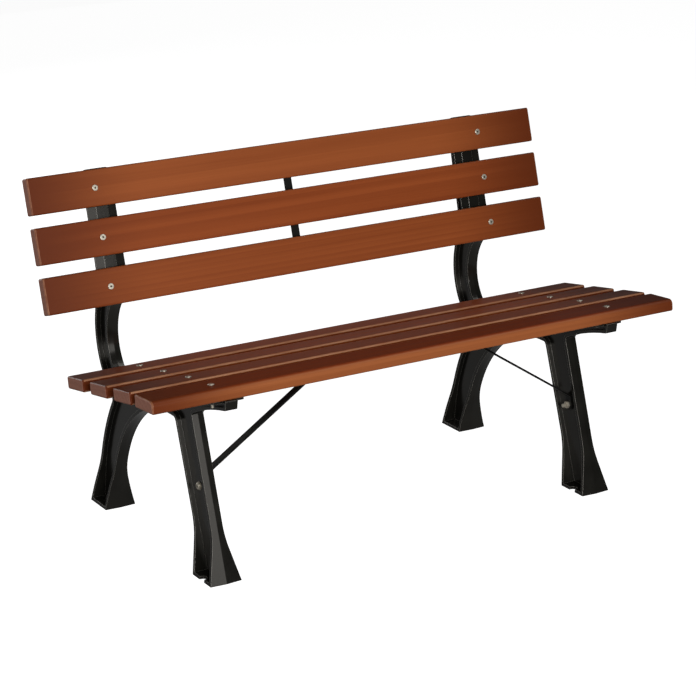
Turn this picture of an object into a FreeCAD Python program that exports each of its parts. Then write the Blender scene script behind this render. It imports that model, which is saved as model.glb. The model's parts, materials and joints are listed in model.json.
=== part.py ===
import FreeCAD, Part
import math
import os

# Garden bench: seven stained wooden slats bolted to two cast side frames.
# X runs along the bench, Y from front (-) to rear (+), Z up from the floor.
# Heights are measured from the floor, depths from about the middle of the bench,
# and every piece is moved at the end so that the whole bench is centred in Y.

V = FreeCAD.Vector
X_AXIS = V(1, 0, 0)
Y_AXIS = V(0, 1, 0)
ORIGIN = V(0, 0, 0)

# ---------------------------------------------------------------- dimensions
# Slats
slat_length = 1224.0
slat_width = 76.0
slat_thickness = 25.5
slat_edge_radius = 4.0
front_edge_radius = 11.0
slat_end_radius = 3.5

# Seat line: the underside of the slats, which bends between slats one and two
seat_bend_y = -210.5
seat_bend_z = 384.6
front_seat_angle = 4.6
rear_seat_angle = 9.8
front_slat_gap = 9.5
second_slat_gap = 7.6
seat_slat_pitch = 108.4
seat_bolt_offset = 39.5

# Back line: the rear of the back slats, leaning back from the vertical
back_lean = 16.35
back_line_y = 200.2
back_line_z = 493.4
back_slat_pitch = 101.2

# Side frames
frame_spacing = 896.0
web_thickness = 6.0
flange_thickness = 6.0
flange_width = 26.0
plate_width = 65.0
plate_thickness = 6.0
plate_fall = 1.8
ridge_height = 2.5
bolt_offset = 19.5

# Legs and feet
foot_width = 69.0
flare_height = 88.0
flare_blend_radius = 200.0
front_foot_toe = -258.0
front_foot_heel = -182.0
front_leg_splay = 0.3224
front_leg_top = 324.0
front_leg_rear_middle = V(0, -145.5, 110.0)
arch_front = V(0, -82.0, 296.6)
arch_center = V(0, -67.0, 14.4)
arch_radius = 282.6
rear_leg_center = V(0, -171.2, -21.9)
rear_leg_radius = 460.0

# Nose of the seat bearer, in front of the front leg
nose_bottom = V(0, -297.0, 371.5)
nose_underside = V(0, -243.0, 358.5)
nose_top_y = -300.5
seat_plate_front = -287.0
seat_plate_rear = 92.0

# Back upright, which curves into the seat bearer at the knee
knee_center = V(0, 112.0, 387.5)
knee_front_radius = 108.0
knee_rear_radius = 163.0
upright_plate_low = -35.0
upright_plate_top = 242.5
plate_corner_radius = 12.0
upright_rear_point = V(0, 254.0, 485.0)
upright_rear_slope = 0.2308

# Anchor notches in both edges of the front feet
notch_width = 18.0
notch_depth = 12.0

# M6 bolts of the slats
bolt_diameter = 6.0
bolt_hole = 7.0
bolt_head_diameter = 13.0
bolt_head_height = 2.0
bolt_socket_width = 4.0
bolt_socket_depth = 4.0
bolt_length = 45.0
washer_diameter = 12.0
washer_thickness = 1.6
nut_width = 10.0
nut_height = 5.0

# M8 bolts that hold the braces to the front legs
brace_bolt_diameter = 8.0
brace_bolt_hole = 9.0
brace_head_diameter = 14.0
brace_head_height = 4.6
brace_bolt_length = 26.0
brace_washer_diameter = 17.0
brace_nut_width = 13.0
brace_nut_height = 6.5
brace_y = -162.5
brace_bolt_z = 174.5

# Flat steel straps and braces
strap_width = 18.0
strap_thickness = 3.0
strap_x = -11.0
back_strap_low = -30.0
back_strap_top = 232.0
brace_width = 16.5
brace_thickness = 4.0
brace_tab_radius = 12.0
brace_low_bend_z = 194.5
brace_high_bend_x = 168.0
brace_high_end_x = 126.0
brace_screw_x = 146.0

# Wood screws of the straps and braces
screw_diameter = 4.5
screw_head_diameter = 9.0
screw_head_height = 2.6
screw_depth = 18.0

# Clearance of a hole around its bolt, and overrun of a cutting tool
washer_clearance = 0.4
overrun = 5.0

# ------------------------------------------------------------ derived values
half_spacing = frame_spacing / 2
bolt_x = half_spacing + bolt_offset
web_inner_x = half_spacing - web_thickness / 2
web_outer_x = half_spacing + web_thickness / 2
lean = math.radians(back_lean)
back_up = V(0, math.sin(lean), math.cos(lean))
back_forward = V(0, -math.cos(lean), math.sin(lean))
back_base = V(0, back_line_y, back_line_z)
seat_bend = V(0, seat_bend_y, seat_bend_z)


# ------------------------------------------------------------ small geometry
def falling(angle):
    """Rearward and upward directions of a part that falls to the rear."""
    fall = math.radians(angle)
    return V(0, math.cos(fall), -math.sin(fall)), V(0, math.sin(fall), math.cos(fall))


front_rearward, front_normal = falling(front_seat_angle)
rear_rearward, rear_normal = falling(rear_seat_angle)


def seat_point(y):
    """Point on the underside of the seat slats at depth y."""
    rearward = front_rearward if y < seat_bend_y else rear_rearward
    return seat_bend + rearward * ((y - seat_bend_y) / rearward.y)


def meeting(first, second, near):
    """Crossing of two curves of the side view that is nearest to a place."""
    points = first.intersectCC(second)
    places = [V(point.X, point.Y, point.Z) for point in points]
    return min(places, key=lambda place: (place - near).Length)


def line(start, end):
    return Part.LineSegment(start, end).toShape()


def arc_through(start, middle, end):
    return Part.Arc(start, middle, end).toShape()


def slab(base, along, length, across, width, out, height):
    """Box with its length, width and height along three given directions."""
    side = along * length
    edge = across * width
    outline = Part.makePolygon([base, base + side, base + side + edge, base + edge, base])
    return Part.Face(outline).extrude(out * height)


def parallel_edges(shape, direction, points):
    """Straight edges along direction that pass through one of the points."""
    found = []
    for edge in shape.Edges:
        start, end = edge.Vertexes[0].Point, edge.Vertexes[-1].Point
        run = end - start
        if run.Length < 0.001 or run.cross(direction).Length > 0.001 * run.Length:
            continue
        if any((point - start).cross(direction).Length < 0.01 for point in points):
            found.append(edge)
    return found


def fuse_all(shapes):
    return shapes[0].multiFuse(shapes[1:]).removeSplitter()


# --------------------------------------------------------- side frame casting
toe = V(0, front_foot_toe, 0)
leg_top = V(0, front_foot_toe + front_leg_splay * front_leg_top, front_leg_top)
front_heel = V(0, front_foot_heel, 0)
leg_back = arc_through(arch_front, front_leg_rear_middle, front_heel).Curve
nose_arc = arc_through(leg_top, nose_underside, nose_bottom).Curve
top_front = back_base + back_up * upright_plate_top
upright_rear_line = V(0, upright_rear_slope, 1)

# The outline's sides in order, clockwise as seen from +X. A straight side has two
# points; a round one has its centre, its radius, and +1 where the metal is inside it.
outline_sides = [
    (toe, leg_top),
    (nose_arc.Center, nose_arc.Radius, -1),
    (nose_bottom, seat_point(nose_top_y)),
    (seat_point(nose_top_y), seat_bend),
    (seat_bend, seat_point(seat_plate_rear)),
    (knee_center, knee_front_radius, -1),
    (back_base, top_front),
    (top_front, top_front - back_forward),
    (upright_rear_point + upright_rear_line, upright_rear_point),
    (knee_center, knee_rear_radius, 1),
    (rear_leg_center, rear_leg_radius, 1),
    (V(0, slat_length, 0), ORIGIN),
    (arch_center, arch_radius, -1),
    (leg_back.Center, leg_back.Radius, -1),
    (ORIGIN, V(0, -slat_length, 0)),
]
# Where each side starts, roughly: it tells apart the two crossings of a round side.
side_starts = [
    toe, leg_top, nose_bottom, seat_point(nose_top_y), seat_bend,
    V(0, 192, 315), V(0, 191, 461), top_front, V(0, 305, 714), V(0, 251, 472),
    V(0, 199, 248), V(0, 288, 0), V(0, 215, 0), arch_front, front_heel,
]
# Radius of the rounding where each side starts; +1 marks an inner corner.
side_roundings = [
    (0, 0), (10, 1), (3, -1), (3, -1), (0, 0),
    (15, 1), (0, 0), (3, -1), (22, -1), (60, 1),
    (16, 1), (0, 0), (0, 0), (14, 1), (0, 0),
]


def moved_side(side, inset):
    """A side of the outline, moved into the metal."""
    if len(side) == 3:
        center, radius, metal = side
        return Part.Circle(center, X_AXIS, radius - metal * inset)
    start, end = side
    run = V(end - start).normalize()
    inward = V(0, run.z, -run.y) * inset
    return Part.Line(start + inward, end + inward)


def outline_corners(inset):
    """Corners of the outline, each where its side starts."""
    curves = [moved_side(side, inset) for side in outline_sides]
    return [
        meeting(curves[index - 1], curves[index], near)
        for index, near in enumerate(side_starts)
    ]


def side_view(inset):
    """Face of the casting's side view, moved inwards, with rounded corners."""
    corners = outline_corners(inset)
    edges = []
    for index, side in enumerate(outline_sides):
        start, end = corners[index], corners[(index + 1) % len(corners)]
        if len(side) == 2:
            edges.append(line(start, end))
            continue
        center, radius = side[0], side[1] - side[2] * inset
        halfway = (start + end) / 2 - center
        edges.append(arc_through(start, center + halfway.normalize() * radius, end))
    plate = Part.Face(Part.Wire(edges)).extrude(X_AXIS * web_thickness)
    for corner, (radius, inner) in zip(corners, side_roundings):
        moved_radius = radius + inner * inset
        if radius > 0 and moved_radius > 0:
            plate = plate.makeFillet(moved_radius, parallel_edges(plate, X_AXIS, [corner]))
    side = min(plate.Faces, key=lambda face: face.CenterOfMass.x)
    return Part.Face(side.OuterWire)


def flare_envelope():
    """Width of the casting: narrow above, spreading to the feet below."""
    narrow, wide, top = flange_width / 2, foot_width / 2, slat_length
    corners = [V(-wide, 0, 0), V(wide, 0, 0), V(narrow, 0, flare_height), V(narrow, 0, top)]
    corners += [V(-narrow, 0, top), V(-narrow, 0, flare_height), V(-wide, 0, 0)]
    solid = Part.Face(Part.makePolygon(corners)).extrude(Y_AXIS * slat_length)
    waist = parallel_edges(solid, Y_AXIS, [corners[2], corners[5]])
    solid = solid.makeFillet(flare_blend_radius, waist)
    solid.translate(Y_AXIS * (-slat_length / 2))
    return solid


def ridge_section(point, outward):
    """Low triangle across the outer face of a flange, sunk 1 mm into it."""
    half = X_AXIS * (foot_width / 2)
    corners = [point - half - outward, point - half, point + outward * ridge_height]
    corners += [point + half, point + half - outward]
    return Part.Face(Part.makePolygon(corners + corners[:1]))


def straight_ridge(start, end, outward):
    return ridge_section(start, outward).extrude(end - start)


def curved_ridge(center, start, end, facing):
    """Ridge along an arc: facing is +1 outside the arc and -1 inside it."""
    from_center, to_center = start - center, end - center
    outward = V(from_center).normalize() * facing
    turn = math.degrees(from_center.getAngle(to_center))
    if from_center.cross(to_center).x < 0:
        turn = -turn
    return ridge_section(start, outward).revolve(center, X_AXIS, turn)


def ridges():
    """Parting line of the casting: the outer faces rise to a line at mid-width."""
    corners = outline_corners(0)
    leg = V(leg_top - toe).normalize()
    seat_end, knee_top, upright_low, crotch, rear_heel, rear_toe, arch_end = (
        corners[index] for index in (5, 6, 9, 10, 11, 12, 13)
    )
    return [
        straight_ridge(toe - leg * overrun, leg_top, V(0, -leg.z, leg.y)),
        curved_ridge(arch_center, rear_toe, arch_end, -1),
        curved_ridge(rear_leg_center, rear_heel, crotch, 1),
        curved_ridge(knee_center, seat_end, knee_top, -1),
        curved_ridge(knee_center, crotch, upright_low, 1),
    ]


def plate_section(point, out):
    """Cross-section of a wide plate, whose face falls a little from its middle line."""
    half, edge = X_AXIS * (plate_width / 2), point - out * plate_fall
    back = point - out * plate_thickness
    corners = [point, edge + half, back + half, back - half, edge - half, point]
    return Part.Face(Part.makePolygon(corners))


def seat_plate():
    """Wide plate along the top of the bearer, which the seat slats lie on."""
    front, rear = seat_point(seat_plate_front), seat_point(seat_plate_rear)
    front_run, rear_run = seat_bend - front, rear - seat_bend
    front_part = plate_section(front, front_normal).extrude(front_run + front_rearward)
    rear_part = plate_section(seat_bend - rear_rearward, rear_normal)
    return fuse_all([front_part, rear_part.extrude(rear_run + rear_rearward)])


def upright_plate():
    """Wide plate up the front of the upright, which the back slats lie on."""
    length = upright_plate_top - upright_plate_low
    plate = plate_section(back_base + back_up * upright_plate_low, back_forward)
    plate = plate.extrude(back_up * length)
    ends = [top_front + X_AXIS * (side * plate_width / 2) for side in (-1, 1)]
    return plate.makeFillet(plate_corner_radius, parallel_edges(plate, back_forward, ends))


def anchor_notches():
    """U-shaped notches in both edges of the front foot's base plate."""
    center_y = (front_foot_toe + front_foot_heel) / 2
    radius = notch_width / 2
    height = flange_thickness + overrun
    tools = []
    for side in (-1, 1):
        end_x = side * (foot_width / 2 - notch_depth + radius)
        tools.append(Part.makeCylinder(radius, height, V(end_x, center_y, 0)))
        start_x = min(end_x, end_x + side * notch_width)
        corner = V(start_x, center_y - radius, 0)
        tools.append(Part.makeBox(notch_width, notch_width, height, corner))
    return tools


def side_frame():
    """Right-hand casting, at its place on the bench."""
    outline = side_view(0)
    rim = outline.cut(side_view(flange_thickness)).extrude(X_AXIS * foot_width)
    rim.translate(X_AXIS * (-foot_width / 2))
    web = outline.extrude(X_AXIS * web_thickness)
    web.translate(X_AXIS * (-web_thickness / 2))
    flanges = fuse_all([rim] + ridges()).common(flare_envelope())
    body = fuse_all([web, flanges, seat_plate(), upright_plate()])
    body = body.cut(anchor_notches())
    body.translate(X_AXIS * half_spacing)
    holes = [hole(top, normal, bolt_hole) for top, normal in slat_bolt_places(1)]
    brace_hole = V(web_inner_x - overrun, brace_y, brace_bolt_z)
    span = web_thickness + 2 * overrun
    holes.append(Part.makeCylinder(brace_bolt_hole / 2, span, brace_hole, X_AXIS))
    return body.cut(holes).removeSplitter()


# ----------------------------------------------------------------------- wood
def seat_slat_places():
    """Front lower edge, rearward and upward directions of each seat slat."""
    start = seat_bend - front_rearward * (front_slat_gap + slat_width)
    places = [(start, front_rearward, front_normal)]
    for index in range(3):
        start = seat_bend + rear_rearward * (second_slat_gap + index * seat_slat_pitch)
        places.append((start, rear_rearward, rear_normal))
    return places


def back_slat_places():
    """Lower rear edge, upward and forward directions of each back slat."""
    places = []
    for index in range(3):
        middle = back_base + back_up * (index * back_slat_pitch)
        places.append((middle - back_up * (slat_width / 2), back_up, back_forward))
    return places


def slat_bolt_places(side):
    """Centre of each bolt head's seat and its outward direction, on one side."""
    places = []
    for start, along, out in seat_slat_places():
        places.append((start + along * seat_bolt_offset + out * slat_thickness, out))
    for start, along, out in back_slat_places():
        places.append((start + along * (slat_width / 2) + out * slat_thickness, out))
    return [(point + X_AXIS * (side * bolt_x), out) for point, out in places]


def hole(top, out, diameter):
    """Drill that runs from above a slat's face down through the bearing plate."""
    depth = slat_thickness + plate_thickness + 2 * overrun
    return Part.makeCylinder(diameter / 2, depth, top + out * overrun, -out)


def make_slat(place, front_radius):
    """One slat: a plank with rounded long edges and softened ends."""
    start, along, out = place
    base = start - X_AXIS * (slat_length / 2)
    plank = slab(base, X_AXIS, slat_length, along, slat_width, out, slat_thickness)
    upper_front = base + out * slat_thickness
    others = [base, base + along * slat_width, upper_front + along * slat_width]
    plank = plank.makeFillet(front_radius, parallel_edges(plank, X_AXIS, [upper_front]))
    plank = plank.makeFillet(slat_edge_radius, parallel_edges(plank, X_AXIS, others))
    ends = [edge for edge in plank.Edges if edge.BoundBox.XLength < 0.001]
    return plank.makeFillet(slat_end_radius, ends)


def make_slats():
    """All seven slats by name, drilled for their bolts and screws."""
    seat_names = ("seat_slat_front", "seat_slat_second", "seat_slat_third", "seat_slat_rear")
    back_names = ("back_slat_lower", "back_slat_middle", "back_slat_upper")
    places = seat_slat_places() + back_slat_places()
    bolts = slat_bolt_places(-1), slat_bolt_places(1)
    slats = {}
    for index, name in enumerate(seat_names + back_names):
        front_radius = front_edge_radius if name == "seat_slat_front" else slat_edge_radius
        slat = make_slat(places[index], front_radius)
        tools = [hole(side[index][0], side[index][1], bolt_hole) for side in bolts]
        tools += [pilot_hole(*strap_screw_places()[index])]
        if name == "seat_slat_second":
            tools += [pilot_hole(*brace_screw_place(side)) for side in (-1, 1)]
        slats[name] = slat.cut(tools)
    return slats


# ------------------------------------------------------------ straps, screws
def strap_screw_places():
    """Where each slat's middle screw enters the wood, and its outward direction."""
    places = []
    for start, along, out in seat_slat_places() + back_slat_places():
        places.append((start + X_AXIS * strap_x + along * (slat_width / 2), -out))
    return places


def pilot_hole(face_point, out):
    return Part.makeCylinder(screw_diameter / 2, screw_depth, face_point, -out)


def make_screw(face_point, out, strip_thickness):
    """Wood screw whose head lies on a steel strip that lies on the wood."""
    under_head = face_point + out * strip_thickness
    shank = Part.makeCylinder(screw_diameter / 2, screw_depth + strip_thickness, under_head, -out)
    return domed_head(under_head, out, screw_head_diameter, screw_head_height).fuse(shank)


def make_back_strap():
    """Upright steel strip behind the middle of the back slats."""
    base = back_base + back_up * back_strap_low + X_AXIS * (strap_x - strap_width / 2)
    length = back_strap_top - back_strap_low
    strap = slab(base, back_up, length, X_AXIS, strap_width, -back_forward, strap_thickness)
    return drill_strap(strap, strap_screw_places()[4:])


def make_seat_strap():
    """Steel strip under the middle of the seat slats, bent with the seat line."""
    first, last = strap_screw_places()[0][0], strap_screw_places()[3][0]
    front = first - front_rearward * (slat_width / 4)
    rear = last + rear_rearward * (slat_width / 4)
    bend = seat_bend + X_AXIS * strap_x
    drop_bend = V(0, 0, -strap_thickness)
    corners = [front, bend, rear, rear - rear_normal * strap_thickness]
    corners += [bend + drop_bend, front - front_normal * strap_thickness, front]
    strap = Part.Face(Part.makePolygon(corners)).extrude(X_AXIS * strap_width)
    strap.translate(X_AXIS * (-strap_width / 2))
    return drill_strap(strap, strap_screw_places()[:4])


def drill_strap(strap, places):
    tools = []
    depth = max(strap_thickness, brace_thickness) + 2 * overrun
    for point, out in places:
        tools.append(Part.makeCylinder(screw_diameter / 2, depth, point - out * overrun, out))
    return strap.cut(tools)


def brace_seat_z():
    return seat_point(brace_y).z


def brace_screw_place(side):
    return V(side * brace_screw_x, brace_y, brace_seat_z()), -rear_normal


def make_brace(side):
    """Flat steel from the front leg's web up to the second seat slat."""
    inner_x = web_inner_x - brace_thickness
    seat_z = brace_seat_z()
    low = V(inner_x, 0, brace_low_bend_z)
    run = V(brace_high_bend_x, 0, seat_z - brace_thickness) - low
    across = V(run.z, 0, -run.x).normalize() * brace_thickness
    high = low + run + V(run).normalize() * (2 * brace_thickness)
    bend = low + across + run * ((web_inner_x - low.x - across.x) / run.x)
    corners = [low, high, high + across, bend, V(web_inner_x, 0, brace_bolt_z)]
    corners += [V(inner_x, 0, brace_bolt_z), low]
    strip = Part.Face(Part.makePolygon(corners)).extrude(Y_AXIS * brace_width)
    strip.translate(Y_AXIS * (brace_y - brace_width / 2))
    eye_center = V(inner_x, brace_y, brace_bolt_z)
    eye = Part.makeCylinder(brace_tab_radius, brace_thickness, eye_center, X_AXIS)
    tab_start = V(brace_high_end_x, brace_y, seat_z) - rear_rearward * (brace_width / 2)
    tab_length = brace_high_bend_x - brace_high_end_x
    tab = slab(tab_start, X_AXIS, tab_length, rear_rearward, brace_width,
               -rear_normal, brace_thickness)
    slat_space = slab(tab_start - rear_rearward * overrun, X_AXIS, half_spacing,
                      rear_rearward, brace_width + 2 * overrun, rear_normal, slat_thickness)
    brace = fuse_all([strip, eye, tab]).cut(slat_space)
    bolt_start = eye_center - X_AXIS * overrun
    span = brace_thickness + 2 * overrun
    brace = brace.cut(Part.makeCylinder(brace_bolt_hole / 2, span, bolt_start, X_AXIS))
    brace = drill_strap(brace, [brace_screw_place(1)])
    return brace if side > 0 else brace.mirror(ORIGIN, X_AXIS)


# ------------------------------------------------------------------ fasteners
def domed_head(base, out, diameter, height):
    """Pan head with a cross recess; base is the centre of its flat underside."""
    head = Part.makeCylinder(diameter / 2, height, base, out)
    rim = max(head.Edges, key=lambda edge: (edge.BoundBox.Center - base).dot(out))
    head = head.makeFillet(height * 0.6, [rim])
    first = out.cross(X_AXIS)
    first = Y_AXIS if first.Length < 0.001 else first.normalize()
    second = out.cross(first).normalize()
    length, width = diameter * 0.5, diameter * 0.15
    bottom = base + out * (height * 0.3)
    for along, across in ((first, second), (second, first)):
        corner = bottom - along * (length / 2) - across * (width / 2)
        head = head.cut(slab(corner, along, length, across, width, out, height))
    return head


def make_bolt(base, out, diameter, length, head_diameter, head_height):
    shank = Part.makeCylinder(diameter / 2, length, base, -out)
    return domed_head(base, out, head_diameter, head_height).fuse(shank)


def make_socket_bolt(base, out):
    """Slat bolt with a flat round head and a hexagon socket that sinks into its shank."""
    head = Part.makeCylinder(bolt_head_diameter / 2, bolt_head_height, base, out)
    rim = max(head.Edges, key=lambda edge: (edge.BoundBox.Center - base).dot(out))
    head = head.makeFillet(bolt_head_height * 0.6, [rim])
    bolt = head.fuse(Part.makeCylinder(bolt_diameter / 2, bolt_length, base, -out))
    return bolt.cut(hexagon(base + out * bolt_head_height, -out, bolt_socket_width,
                            bolt_socket_depth))


def make_ring(base, out, diameter, bore, height):
    ring = Part.makeCylinder(diameter / 2, height, base, out)
    return ring.cut(Part.makeCylinder(bore / 2, height, base, out))


def hexagon(base, out, width, height):
    """Six-sided prism that stands on base and reaches along out."""
    first = out.cross(X_AXIS)
    first = Y_AXIS if first.Length < 0.001 else first.normalize()
    second = out.cross(first).normalize()
    reach = width / math.sqrt(3)
    corners = []
    for index in range(7):
        turn = math.radians(60 * index)
        corners.append(base + first * (reach * math.cos(turn)) + second * (reach * math.sin(turn)))
    return Part.Face(Part.makePolygon(corners)).extrude(out * height)


def make_nut(base, out, width, bore, height):
    """Hexagon nut that stands on base and reaches along out."""
    nut = hexagon(base, out, width, height)
    return nut.cut(Part.makeCylinder(bore / 2, height, base, out))


def slat_fasteners(places):
    """Bolts, washers and nuts at the given heads' seats."""
    bolts, washers, nuts = [], [], []
    for point, out in places:
        under_plate = point - out * (slat_thickness + plate_thickness)
        under_washer = under_plate - out * washer_thickness
        bore = bolt_diameter + washer_clearance
        bolts.append(make_socket_bolt(point, out))
        washers.append(make_ring(under_plate, -out, washer_diameter, bore, washer_thickness))
        nuts.append(make_nut(under_washer, -out, nut_width, bolt_diameter, nut_height))
    return bolts, washers, nuts


def brace_fasteners():
    """The bolt, washer and nut that hold each brace to its front leg."""
    bolts, washers, nuts = [], [], []
    bore = brace_bolt_diameter + washer_clearance
    for side in (-1, 1):
        out = X_AXIS * side
        web_face = V(side * web_outer_x, brace_y, brace_bolt_z)
        tab_face = V(side * (web_inner_x - brace_thickness), brace_y, brace_bolt_z)
        head_seat = web_face + out * washer_thickness
        bolts.append(make_bolt(head_seat, out, brace_bolt_diameter, brace_bolt_length,
                               brace_head_diameter, brace_head_height))
        washers.append(make_ring(web_face, out, brace_washer_diameter, bore, washer_thickness))
        nuts.append(make_nut(tab_face, -out, brace_nut_width, brace_bolt_diameter,
                             brace_nut_height))
    return bolts, washers, nuts


# ------------------------------------------------------------------- assembly
def build_pieces():
    """Every piece of the bench by name; identical fasteners form one group."""
    both_sides = [slat_bolt_places(side) for side in (-1, 1)]
    seat = slat_fasteners([place for side in both_sides for place in side[:4]])
    back = slat_fasteners([place for side in both_sides for place in side[4:]])
    brace = brace_fasteners()
    right_frame = side_frame()
    screws = [make_screw(point, out, strap_thickness) for point, out in strap_screw_places()]
    brace_places = [brace_screw_place(side) for side in (-1, 1)]
    pieces = {
        "left_side_frame": right_frame.mirror(ORIGIN, X_AXIS),
        "right_side_frame": right_frame,
        "back_center_strap": make_back_strap(),
        "seat_center_strap": make_seat_strap(),
        "left_brace": make_brace(-1),
        "right_brace": make_brace(1),
        "seat_bolts": Part.makeCompound(seat[0]),
        "seat_washers": Part.makeCompound(seat[1]),
        "seat_nuts": Part.makeCompound(seat[2]),
        "back_bolts": Part.makeCompound(back[0]),
        "back_washers": Part.makeCompound(back[1]),
        "back_nuts": Part.makeCompound(back[2]),
        "brace_leg_bolts": Part.makeCompound(brace[0]),
        "brace_leg_washers": Part.makeCompound(brace[1]),
        "brace_leg_nuts": Part.makeCompound(brace[2]),
        "seat_strap_screws": Part.makeCompound(screws[:4]),
        "back_strap_screws": Part.makeCompound(screws[4:]),
        "brace_slat_screws": Part.makeCompound(
            [make_screw(point, out, brace_thickness) for point, out in brace_places]
        ),
    }
    pieces.update(make_slats())
    return pieces


def main():
    pieces = build_pieces()
    box = Part.makeCompound(list(pieces.values())).BoundBox
    middle_y = (box.YMin + box.YMax) / 2
    os.makedirs("parts", exist_ok=True)
    for name, shape in pieces.items():
        shape.translate(V(0, -middle_y, 0))
        shape.exportStep("parts/" + name + ".step")
        bounds = shape.BoundBox
        print(name, len(shape.Solids), shape.isValid(), round(shape.Volume / 1000, 1),
              [round(value, 1) for value in (bounds.XMin, bounds.XMax, bounds.YMin,
                                             bounds.YMax, bounds.ZMin, bounds.ZMax)])
    print("overall", round(box.XLength, 1), round(box.YLength, 1), round(box.ZMax, 1),
          "bottom", round(box.ZMin, 3), "shift", round(middle_y, 2))


main()
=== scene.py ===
import json
import math

import bmesh
import bpy
from mathutils import Matrix, Vector


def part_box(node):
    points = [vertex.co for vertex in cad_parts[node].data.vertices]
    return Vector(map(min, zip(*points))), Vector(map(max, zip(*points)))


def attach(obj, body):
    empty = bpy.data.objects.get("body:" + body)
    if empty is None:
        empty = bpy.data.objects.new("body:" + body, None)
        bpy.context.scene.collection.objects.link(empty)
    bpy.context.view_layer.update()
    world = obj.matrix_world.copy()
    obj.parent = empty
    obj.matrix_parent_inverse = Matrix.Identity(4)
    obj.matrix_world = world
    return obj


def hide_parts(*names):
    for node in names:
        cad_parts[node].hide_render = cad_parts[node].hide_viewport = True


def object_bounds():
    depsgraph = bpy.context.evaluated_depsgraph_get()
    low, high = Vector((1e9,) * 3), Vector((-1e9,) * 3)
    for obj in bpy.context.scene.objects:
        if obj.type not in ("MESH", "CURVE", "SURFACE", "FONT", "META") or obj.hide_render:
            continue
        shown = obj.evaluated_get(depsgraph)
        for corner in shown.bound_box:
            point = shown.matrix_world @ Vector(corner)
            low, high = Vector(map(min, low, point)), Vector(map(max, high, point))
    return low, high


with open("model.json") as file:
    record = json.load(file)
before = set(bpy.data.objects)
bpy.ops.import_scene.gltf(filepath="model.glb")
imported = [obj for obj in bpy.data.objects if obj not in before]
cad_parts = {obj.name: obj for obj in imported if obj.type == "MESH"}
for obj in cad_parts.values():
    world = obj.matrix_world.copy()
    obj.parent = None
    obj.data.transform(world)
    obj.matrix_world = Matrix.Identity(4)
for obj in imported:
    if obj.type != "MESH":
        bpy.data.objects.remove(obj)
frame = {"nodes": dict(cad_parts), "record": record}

cad_low, cad_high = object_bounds()
nodes = frame["nodes"]
slot_of = {part["node"]: part["material_slot"] for part in frame["record"]["subparts"]}
scene = bpy.context.scene
scene.view_settings.view_transform = "Standard"

# ------------------------------------------------------------------- camera
CAMERA_PLACE = Vector((-2.38279, -3.95909, 1.84116))
CAMERA_YAW = math.radians(30.925)
CAMERA_PITCH = math.radians(-18.058)
CAMERA_ROLL = math.radians(-0.508)
CAMERA_LENS_MM = 120.10
SENSOR_MM = 36.0


def make_camera():
    """Camera with a level right-hand axis that is then rolled about its own line of sight."""
    level = math.cos(CAMERA_PITCH)
    forward = Vector((math.sin(CAMERA_YAW) * level, math.cos(CAMERA_YAW) * level,
                      math.sin(CAMERA_PITCH)))
    right = Vector((math.cos(CAMERA_YAW), -math.sin(CAMERA_YAW), 0))
    up = right.cross(forward)
    cos_roll, sin_roll = math.cos(CAMERA_ROLL), math.sin(CAMERA_ROLL)
    rolled_right = right * cos_roll + up * sin_roll
    rolled_up = up * cos_roll - right * sin_roll
    turn = Matrix((rolled_right, rolled_up, -forward)).transposed().to_4x4()
    data = bpy.data.cameras.new("studio_camera")
    data.lens = CAMERA_LENS_MM
    data.sensor_width = SENSOR_MM
    data.clip_start, data.clip_end = 0.05, 200
    camera = bpy.data.objects.new("studio_camera", data)
    camera.matrix_world = Matrix.Translation(CAMERA_PLACE) @ turn
    scene.collection.objects.link(camera)
    scene.camera = camera


# ----------------------------------------------------- floor, light and world
FLOOR_HALF_SIZE = 60.0
FLOOR_DROP = 0.0004
FLOOR_COLOR = (0.86, 0.86, 0.86, 1)
FLOOR_GLOW = 0.92
BOUNCE_DROP = 0.02
BOUNCE_GLOW = 0.20
BACKDROP_GLOW = 0.12
BACKDROP_PLACE = (3.0, 6.0, 0.9)
BACKDROP_SCALE = (0.12, 0.018, 1.0)
WORLD_LEVEL = 0.05
DOME_RADIUS = 50.0
DOME_GLOW = 0.96
BLACK = (0, 0, 0, 1)
WHITE = (1, 1, 1, 1)
LIGHT_TARGET = (0, 0, 0.45)
# Each softbox's name, place, width and height, and power in watts
SOFTBOXES = (
    ("key_softbox", (-1.3, -4.2, 1.7), (2.8, 1.6), 155),
    ("accent_softbox", (1.05, -4.45, 1.35), (1.1, 2.0), 16),
    ("side_softbox", (-3.6, -0.6, 0.9), (1.2, 1.0), 6),
    ("overhead_softbox", (2.0, -1.2, 3.7), (3.4, 1.0), 34),
    ("rear_softbox", (-1.2, 3.9, 1.0), (2.4, 1.2), 45),
)


def make_plane(name, drop, color, glow):
    """Wide level plane that shines evenly, at a distance below the bench's feet."""
    h = FLOOR_HALF_SIZE
    mesh = bpy.data.meshes.new(name)
    mesh.from_pydata([(-h, -h, 0), (h, -h, 0), (h, h, 0), (-h, h, 0)], [], [(0, 1, 2, 3)])
    plane = glowing(name, mesh, color, glow)
    plane.location.z = cad_low.z - drop
    return plane


def glowing(name, mesh, color, glow):
    """Studio object that shines evenly but adds no diffuse light to the bench."""
    shape = bpy.data.objects.new(name, mesh)
    shape.visible_diffuse = False
    scene.collection.objects.link(shape)
    material = bpy.data.materials.new(name)
    material.use_nodes = True
    shader = material.node_tree.nodes["Principled BSDF"]
    shader.inputs["Base Color"].default_value = color
    shader.inputs["Roughness"].default_value = 0.9
    shader.inputs["Specular IOR Level"].default_value = 0.0
    shader.inputs["Emission Color"].default_value = WHITE
    shader.inputs["Emission Strength"].default_value = glow
    mesh.materials.append(material)
    return shape


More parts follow.
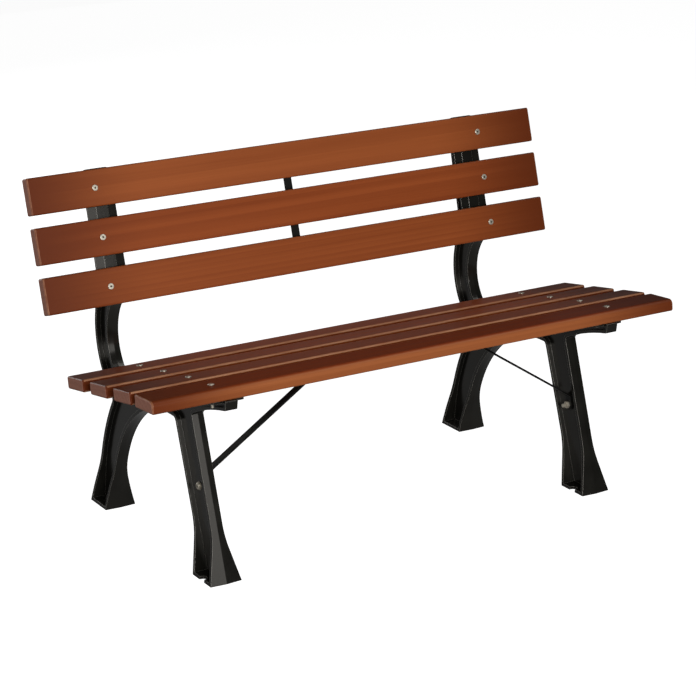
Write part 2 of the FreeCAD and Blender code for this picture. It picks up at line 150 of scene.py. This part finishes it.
def make_floor():
    """White floor for the eye, and a dim floor and backdrop that only reflections show."""
    floor = make_plane("studio_floor", FLOOR_DROP, FLOOR_COLOR, FLOOR_GLOW)
    floor.visible_glossy = False
    bounce = make_plane("studio_bounce", BOUNCE_DROP, BLACK, BOUNCE_GLOW)
    bounce.visible_camera = False
    backdrop = make_plane("studio_backdrop", BOUNCE_DROP, BLACK, BACKDROP_GLOW)
    backdrop.visible_camera = False
    backdrop.scale = BACKDROP_SCALE
    backdrop.rotation_euler.x = math.radians(90)
    backdrop.location = BACKDROP_PLACE


def make_dome():
    """White dome that stands for the studio's walls in low views."""
    made = bmesh.new()
    bmesh.ops.create_uvsphere(made, u_segments=48, v_segments=24, radius=DOME_RADIUS)
    mesh = bpy.data.meshes.new("studio_dome")
    made.to_mesh(mesh)
    made.free()
    dome = glowing("studio_dome", mesh, BLACK, DOME_GLOW)
    dome.visible_glossy = False
    dome.visible_shadow = False


def make_world():
    world = bpy.data.worlds.new("studio_world")
    world.use_nodes = True
    background = world.node_tree.nodes["Background"]
    background.inputs["Color"].default_value = WHITE
    background.inputs["Strength"].default_value = WORLD_LEVEL
    scene.world = world


def make_softbox(name, place, target, size, power):
    """Rectangular soft light at a place, facing a target."""
    data = bpy.data.lights.new(name, "AREA")
    data.shape = "RECTANGLE"
    data.size, data.size_y = size
    data.energy = power
    light = bpy.data.objects.new(name, data)
    light.location = place
    light.rotation_mode = "QUATERNION"
    light.rotation_quaternion = (Vector(target) - Vector(place)).to_track_quat("-Z", "Y")
    scene.collection.objects.link(light)
    return light


def make_lights():
    """All softboxes; the overhead one shows only as a reflection."""
    for name, place, size, power in SOFTBOXES:
        light = make_softbox(name, place, LIGHT_TARGET, size, power)
        if name == "overhead_softbox":
            light.visible_diffuse = False


# ------------------------------------------------------------ shader building
class Shader:
    """One material's node tree, with short calls to add and join nodes."""

    def __init__(self, name):
        self.material = bpy.data.materials.new(name)
        self.material.use_nodes = True
        self.tree = self.material.node_tree
        self.surface = self.tree.nodes["Principled BSDF"]
        coordinates = self.tree.nodes.new("ShaderNodeTexCoord")
        self.place = coordinates.outputs["Object"]

    def join(self, value, socket):
        """Puts a number, a colour or another node's output into a socket."""
        if isinstance(value, bpy.types.NodeSocket):
            self.tree.links.new(value, socket)
        elif isinstance(value, (tuple, list)) and len(value) == 3 and len(socket.default_value) == 4:
            socket.default_value = (*value, 1)
        else:
            socket.default_value = value

    def mapped(self, scale, offset=(0, 0, 0), source=None):
        node = self.tree.nodes.new("ShaderNodeMapping")
        self.join(source or self.place, node.inputs["Vector"])
        node.inputs["Scale"].default_value = scale
        node.inputs["Location"].default_value = offset
        return node.outputs["Vector"]

    def noise(self, vector, scale, detail=3.0, roughness=0.5, distortion=0.0):
        node = self.tree.nodes.new("ShaderNodeTexNoise")
        self.join(vector, node.inputs["Vector"])
        node.inputs["Scale"].default_value = scale
        node.inputs["Detail"].default_value = detail
        node.inputs["Roughness"].default_value = roughness
        node.inputs["Distortion"].default_value = distortion
        return node.outputs["Fac"]

    def math(self, operation, first, second=0.0, clamp=False):
        node = self.tree.nodes.new("ShaderNodeMath")
        node.operation = operation
        node.use_clamp = clamp
        self.join(first, node.inputs[0])
        self.join(second, node.inputs[1])
        return node.outputs[0]

    def remap(self, value, low, high, new_low=0.0, new_high=1.0, smooth=True):
        node = self.tree.nodes.new("ShaderNodeMapRange")
        node.interpolation_type = "SMOOTHSTEP" if smooth else "LINEAR"
        self.join(value, node.inputs["Value"])
        node.inputs["From Min"].default_value = low
        node.inputs["From Max"].default_value = high
        node.inputs["To Min"].default_value = new_low
        node.inputs["To Max"].default_value = new_high
        return node.outputs["Result"]

    def mix(self, factor, first, second, blend="MIX"):
        node = self.tree.nodes.new("ShaderNodeMix")
        node.data_type = "RGBA"
        node.blend_type = blend
        colors = [socket for socket in node.inputs if socket.type == "RGBA"]
        self.join(factor, node.inputs["Factor"])
        self.join(first, colors[0])
        self.join(second, colors[1])
        return next(socket for socket in node.outputs if socket.type == "RGBA")

    def parts(self, vector):
        node = self.tree.nodes.new("ShaderNodeSeparateXYZ")
        self.join(vector, node.inputs[0])
        return node.outputs

    def normal(self):
        return self.tree.nodes.new("ShaderNodeNewGeometry").outputs["Normal"]

    def attribute(self, name):
        node = self.tree.nodes.new("ShaderNodeAttribute")
        node.attribute_name = name
        return node.outputs["Fac"]

    def crevice(self, reach):
        """0 deep in a recess or against another piece, and 1 on open faces."""
        node = self.tree.nodes.new("ShaderNodeAmbientOcclusion")
        node.samples = 8
        node.inputs["Distance"].default_value = reach
        return self.remap(node.outputs["AO"], 0.35, 0.85)

    def rounded_normal(self, radius):
        """Normal of the surface as it is with its edges rounded."""
        node = self.tree.nodes.new("ShaderNodeBevel")
        node.samples = 8
        node.inputs["Radius"].default_value = radius
        return node.outputs["Normal"]

    def turn(self, first, second):
        """0 where two normals agree, and more where they turn apart."""
        node = self.tree.nodes.new("ShaderNodeVectorMath")
        node.operation = "DOT_PRODUCT"
        self.join(first, node.inputs[0])
        self.join(second, node.inputs[1])
        return self.math("SUBTRACT", 1.0, node.outputs["Value"])

    def bump(self, height, strength, distance, normal=None):
        node = self.tree.nodes.new("ShaderNodeBump")
        if normal is not None:
            self.join(normal, node.inputs["Normal"])
        node.inputs["Strength"].default_value = strength
        node.inputs["Distance"].default_value = distance
        self.join(height, node.inputs["Height"])
        self.join(node.outputs["Normal"], self.surface.inputs["Normal"])

    def finish(self, **values):
        """Sets the surface's sockets; a key's underscores stand for spaces."""
        for key, value in values.items():
            self.join(value, self.surface.inputs[key.replace("_", " ")])
        return self.material


# ------------------------------------------------------------------ materials
WOOD_DARK = (0.150, 0.030, 0.008)
WOOD_LIGHT = (0.400, 0.112, 0.028)
WOOD_WEAR_AND_HIGHLIGHT = (0.550, 0.270, 0.145)
END_GRAIN_DARK = (0.330, 0.135, 0.092)
END_GRAIN_LIGHT = (0.540, 0.250, 0.180)
FIBER_STRETCH = 0.012
RINGS_PER_METER = 85.0
RING_WAVER = 0.025
STREAK_SCALE, STREAK_SHARE = 55.0, 0.36
FIBER_SCALE, FIBER_SHARE = 420.0, 0.16
BLOTCH_SCALE, BLOTCH_SHARE = 2.2, 0.30
LATE_WOOD_SHARE = 0.09
BASE_TONE = 0.20
PORE_SCALE = 700.0
WEAR_SCALE = 60.0
# Distance from the middle of the slat where the ends start to darken, and full dark
END_DARKEN_START, END_DARKEN_FULL = 0.34, 0.64


def stained_wood(name, seed, side_tint_and_shade, top_painted_light, pith, wear_and_highlight_range):
    """Reddish-brown stain on straight-grained softwood; the fibres run along X. Tops and sides carry
    painted light and shade.
    """
    shader = Shader(name)
    shift = (seed * 1.37, seed * 0.61, seed * 0.83)
    along = shader.mapped((FIBER_STRETCH, 1, 1), shift)
    x, y, z = shader.parts(shader.place)
    waver = shader.noise(shader.mapped((0.25, 4, 4), shift), 1.0, 1.0)
    off_y = shader.math("SUBTRACT", y, pith[0])
    off_z = shader.math("SUBTRACT", z, pith[1])
    squares = shader.math("ADD", shader.math("MULTIPLY", off_y, off_y),
                          shader.math("MULTIPLY", off_z, off_z))
    radius = shader.math("ADD", shader.math("SQRT", squares),
                         shader.math("MULTIPLY", waver, RING_WAVER))
    ring = shader.math("FRACT", shader.math("MULTIPLY", radius, RINGS_PER_METER))
    late_wood = shader.remap(ring, 0.1, 1.0)
    streak = shader.noise(along, STREAK_SCALE, 4.0, 0.55)
    fiber = shader.noise(along, FIBER_SCALE, 3.0, 0.6)
    blotch = shader.noise(shader.mapped((0.6, 5, 5), shift), BLOTCH_SCALE, 2.0)
    tone = shader.math("MULTIPLY_ADD", streak, STREAK_SHARE)
    tone.node.inputs[2].default_value = BASE_TONE
    tone = shader.math("ADD", tone, shader.math("MULTIPLY", fiber, FIBER_SHARE))
    tone = shader.math("SUBTRACT", tone, shader.math("MULTIPLY", late_wood, LATE_WOOD_SHARE))
    tone = shader.math("ADD", tone, shader.math("MULTIPLY", blotch, BLOTCH_SHARE))
    tone = shader.remap(tone, 0.25, 0.90, 0.15, 1.0, smooth=False)
    color = shader.mix(tone, WOOD_DARK, WOOD_LIGHT)
    normal_x, _, normal_z = shader.parts(shader.normal())
    upward = shader.remap(normal_z, 0.75, 0.98)
    # Painted light: upward faces take the top factor and the other faces the side factor, so tops
    # are painted lighter or darker than the sides.
    color = shader.mix(1.0, color, shader.mix(upward, side_tint_and_shade, top_painted_light), "MULTIPLY")
    # Darker towards both ends of the slat.
    end_darkening = shader.remap(shader.math("ABSOLUTE", x), END_DARKEN_START, END_DARKEN_FULL, 0.0, 1.0)
    color = shader.mix(end_darkening, color, WOOD_DARK)
    patchy = shader.noise(shader.mapped((0.25, 1, 1)), WEAR_SCALE)
    edge = shader.math("MULTIPLY", shader.attribute("edge"),
                       shader.remap(patchy, 0.3, 0.7, *wear_and_highlight_range))
    # Pale roundings: rubbed finish, and on the long roundings of the second to rear seat slats also
    # a painted highlight.
    color = shader.mix(edge, color, WOOD_WEAR_AND_HIGHLIGHT)
    end_pores = shader.noise(shader.mapped((1, 1, 1), shift), PORE_SCALE, 3.0, 0.7)
    end_tone = shader.math("ADD", shader.math("MULTIPLY", late_wood, -0.12),
                           shader.math("MULTIPLY", end_pores, 1.1))
    end_color = shader.mix(shader.remap(end_tone, 0.0, 0.8), END_GRAIN_DARK, END_GRAIN_LIGHT)
    facing = shader.math("ABSOLUTE", normal_x)
    end_mask = shader.remap(facing, 0.75, 0.95)
    color = shader.mix(end_mask, color, end_color)
    sheen = shader.remap(shader.math("ADD", streak, shader.math("MULTIPLY", fiber, 0.5)),
                         0.4, 1.1, 0.30, 0.42, smooth=False)
    roughness = shader.math("ADD", sheen, shader.math("MULTIPLY", end_mask, 0.25), clamp=True)
    height = shader.math("ADD", shader.math("MULTIPLY", fiber, 0.6),
                         shader.math("MULTIPLY", late_wood, 0.25))
    shader.bump(height, 0.35, 0.0004)
    return shader.finish(Base_Color=color, Roughness=roughness, Specular_IOR_Level=0.10)


CAST_EDGE_RADIUS = 0.0014
CAST_CREVICE_REACH = 0.003
CAST_DARK = (0.0075, 0.0071, 0.0059)
CAST_LIGHT = (0.0120, 0.0114, 0.0094)
CAST_RUB_AND_HIGHLIGHT = (0.250, 0.235, 0.205)


def cast_paint(name):
    """Satin black paint over a sand-cast surface, its edges pale: rubbed a little, and also a
    painted highlight along them.
    """
    shader = Shader(name)
    rounded = shader.rounded_normal(CAST_EDGE_RADIUS)
    edge = shader.remap(shader.turn(rounded, shader.normal()), 0.02, 0.14)
    edge = shader.math("MULTIPLY", edge, shader.crevice(CAST_CREVICE_REACH))
    patch = shader.noise(shader.place, 18.0, 3.0)
    grit = shader.noise(shader.place, 620.0, 4.0, 0.65)
    pebble = shader.noise(shader.place, 150.0, 2.0)
    color = shader.mix(shader.remap(patch, 0.3, 0.7), CAST_DARK, CAST_LIGHT)
    # Pale edge colour: rubbed paint, and also a painted highlight along the flange edges.
    rub = shader.math("MULTIPLY", edge, shader.remap(grit, 0.35, 0.7, 0.5, 1.0))
    color = shader.mix(rub, color, CAST_RUB_AND_HIGHLIGHT)
    roughness = shader.remap(shader.math("ADD", patch, shader.math("MULTIPLY", grit, 0.5)),
                             0.45, 1.1, 0.15, 0.23, smooth=False)
    height = shader.math("ADD", shader.math("MULTIPLY", pebble, 0.7),
                         shader.math("MULTIPLY", grit, 0.3))
    shader.bump(height, 0.12, 0.0004, rounded)
    return shader.finish(Base_Color=color, Roughness=roughness, Specular_IOR_Level=0.4,
                         Specular_Tint=(1.0, 0.96, 0.89))


STRIP_DARK = (0.0050, 0.0048, 0.0044)
STRIP_LIGHT = (0.0095, 0.0090, 0.0084)
STRIP_RUBBED = (0.040, 0.038, 0.035)


def strip_paint(name):
    """Smooth black paint on rolled strip steel."""
    shader = Shader(name)
    patch = shader.noise(shader.place, 30.0, 2.0)
    orange_peel = shader.noise(shader.place, 480.0, 2.0)
    color = shader.mix(patch, STRIP_DARK, STRIP_LIGHT)
    rub = shader.math("MULTIPLY", shader.attribute("edge"),
                      shader.remap(orange_peel, 0.4, 0.65, 0.0, 0.5))
    color = shader.mix(rub, color, STRIP_RUBBED)
    roughness = shader.remap(patch, 0.3, 0.7, 0.34, 0.48)
    shader.bump(orange_peel, 0.2, 0.0003)
    return shader.finish(Base_Color=color, Roughness=roughness, Specular_IOR_Level=0.14)


PAINTED_CREVICE_SHADE = (0.06, 0.05, 0.04)
PAINTED_SHADE_REACH = 0.004
BRIGHT_ZINC = ((0.52, 0.47, 0.38), (0.68, 0.62, 0.51))
# Darker zinc for the nuts and washers under the slats: painted shade.
SHADED_ZINC_COLORS = ((0.10, 0.09, 0.08), (0.16, 0.15, 0.13))


def zinc_plate(name, dark, light):
    """Zinc plating with a faint clouding, and painted shade in recesses and where it meets other
    pieces.
    """
    shader = Shader(name)
    cloud = shader.noise(shader.place, 260.0, 3.0)
    scratch = shader.noise(shader.mapped((1, 4, 1)), 1500.0, 2.0)
    color = shader.mix(cloud, dark, light)
    # Painted shade: darker in recesses and against other pieces.
    color = shader.mix(shader.crevice(PAINTED_SHADE_REACH), PAINTED_CREVICE_SHADE, color)
    roughness = shader.remap(shader.math("ADD", cloud, shader.math("MULTIPLY", scratch, 0.4)),
                             0.4, 1.0, 0.24, 0.46, smooth=False)
    shader.bump(scratch, 0.15, 0.0001)
    return shader.finish(Base_Color=color, Roughness=roughness, Metallic=0.6)


# --------------------------------------------------------------------- pieces
MERGE_DISTANCE = 0.000002
FLAT_ANGLE = math.radians(0.4)
SHARP_ANGLE = math.radians(28)
CREASE_ANGLE = math.radians(40)
ROUNDING_TURN = 0.01
RIDGE_ANGLE = math.radians(3)
RIDGE_REACH = 0.0002
PLANK_ROUNDING = 0.0010
STRIP_ROUNDING = 0.0004
NO_ROUNDING = 0
ROUNDING_SEGMENTS = 2


def is_crease(edge, middle_x):
    """True on an edge that shades crisply, a low ridge along the piece's middle included."""
    if len(edge.link_faces) != 2:
        return True
    angle = edge.calc_face_angle()
    on_middle = all(abs(vert.co.x - middle_x) < RIDGE_REACH for vert in edge.verts)
    return angle > CREASE_ANGLE or (on_middle and angle > RIDGE_ANGLE)


def softened(node_name, piece_name, radius, material, marked_roundings="edges"):
    """Copy of a CAD node with smooth shading, its sharp edges rounded if a radius is given.

    The faces marked pale are the new roundings for "edges", and otherwise the node's own
    roundings along the slat or at its ends; this paleness is rubbed finish, and on the long
    roundings also a painted highlight.
    """
    made = bmesh.new()
    made.from_mesh(nodes[node_name].data)
    edge_layer = made.faces.layers.float.new("edge")
    bmesh.ops.remove_doubles(made, verts=made.verts[:], dist=MERGE_DISTANCE)
    bmesh.ops.dissolve_limit(made, angle_limit=FLAT_ANGLE, verts=made.verts[:],
                             edges=made.edges[:], use_dissolve_boundaries=False)
    low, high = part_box(node_name)
    middle_x = (low.x + high.x) / 2
    if radius > 0:
        sharp = [edge for edge in made.edges
                 if len(edge.link_faces) == 2 and edge.calc_face_angle() > SHARP_ANGLE]
        rounded = bmesh.ops.bevel(made, geom=sharp, offset=radius, offset_type="OFFSET",
                                  segments=ROUNDING_SEGMENTS, profile=0.5, affect="EDGES",
                                  clamp_overlap=True)
        for face in rounded["faces"]:
            face[edge_layer] = 1.0
    if marked_roundings != "edges":
        flat = max(made.faces, key=lambda face: face.calc_area()).normal.copy()
        square = (flat, Vector((1, 0, 0)), flat.cross(Vector((1, 0, 0))))
        for face in made.faces:
            turned = 1 - max(abs(face.normal.dot(side)) for side in square)
            at_end = abs(face.normal.x) > ROUNDING_TURN
            kind = "end roundings" if at_end else "long roundings"
            if turned > ROUNDING_TURN and kind == marked_roundings:
                face[edge_layer] = 1.0
    bmesh.ops.triangulate(made, faces=[face for face in made.faces if len(face.verts) > 4])
    for face in made.faces:
        face.smooth = True
    for edge in made.edges:
        edge.smooth = not is_crease(edge, middle_x)
    mesh = bpy.data.meshes.new(piece_name)
    made.to_mesh(mesh)
    made.free()
    if "custom_normal" in mesh.attributes:
        mesh.attributes.remove(mesh.attributes["custom_normal"])
    mesh.materials.clear()
    mesh.materials.append(material)
    piece = bpy.data.objects.new(piece_name, mesh)
    scene.collection.objects.link(piece)
    weighted = piece.modifiers.new("even_shading", "WEIGHTED_NORMAL")
    weighted.keep_sharp = True
    weighted.weight = 100
    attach(piece, "root")
    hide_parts(node_name)
    return piece


def paint_node(node_name, material):
    """Gives a CAD node that is shown as it is its own material."""
    mesh = nodes[node_name].data
    mesh.materials.clear()
    mesh.materials.append(material)


# Each slat's colour factor on its sides and on its top, and the Y and Z of its tree's middle; the
# top factor is painted light (a painted sheen on the second to rear seat slats, a darker, redder
# painted reflection on the front slat), and the side factor of the second to rear seat slats is
# painted shade in the gaps between slats
SLATS = {
    "seat_slat_front": ((1.17, 1.32, 1.65), (0.98, 0.66, 0.70), (0.02, -0.05)),
    "seat_slat_second": ((0.72, 0.62, 0.58), (1.45, 1.15, 1.20), (0.10, 0.10)),
    "seat_slat_third": ((0.72, 0.62, 0.58), (1.50, 1.20, 1.20), (-0.14, 0.06)),
    "seat_slat_rear": ((0.72, 0.60, 0.56), (1.45, 1.15, 1.15), (0.02, 0.16)),
    "back_slat_lower": ((1.08, 0.98, 1.00), (1.0, 1.0, 1.0), (0.10, 0.36)),
    "back_slat_middle": ((1.02, 0.86, 0.86), (1.0, 1.0, 1.0), (0.32, 0.50)),
    "back_slat_upper": ((1.20, 1.16, 1.26), (1.0, 1.0, 1.0), (0.06, 0.78)),
}

# Slats whose long upper edges are painted pale: rubbed finish, and also a painted highlight standing
# for the light lines along them
WORN_AND_HIGHLIGHTED_SLATS = ("seat_slat_second", "seat_slat_third", "seat_slat_rear")
WORN_AND_HIGHLIGHTED_RANGE = (0.50, 0.85)
OTHER_SLAT_WEAR = (0.20, 0.55)


def main():
    make_camera()
    make_floor()
    make_dome()
    make_world()
    make_lights()
    for index, (name, (side_tint_and_shade, top_painted_light, pith)) in enumerate(SLATS.items()):
        worn_and_highlighted = name in WORN_AND_HIGHLIGHTED_SLATS
        wood = stained_wood("stained_wood_" + name, index + 1, side_tint_and_shade, top_painted_light, pith,
                            WORN_AND_HIGHLIGHTED_RANGE if worn_and_highlighted else OTHER_SLAT_WEAR)
        marked_roundings = "long roundings" if worn_and_highlighted else "end roundings"
        softened(name, name + "_plank", PLANK_ROUNDING, wood, marked_roundings)
    paint = cast_paint("cast_frame_paint")
    for side in ("left", "right"):
        softened(side + "_side_frame", side + "_side_casting", NO_ROUNDING, paint)
    strip = strip_paint("strip_steel_paint")
    for name in ("left_brace", "right_brace", "back_center_strap", "seat_center_strap"):
        softened(name, name + "_strip", STRIP_ROUNDING, strip)
    bright = zinc_plate("bright_zinc", *BRIGHT_ZINC)
    zinc_in_shade = zinc_plate("shaded_zinc", *SHADED_ZINC_COLORS)
    for name, slot in slot_of.items():
        if slot == "zinc_fasteners":
            # Nuts and washers under the seat and back take the darker zinc as painted shade.
            in_shade = name.startswith(("seat", "back")) and name.endswith(("nuts", "washers"))
            paint_node(name, zinc_in_shade if in_shade else bright)


main()
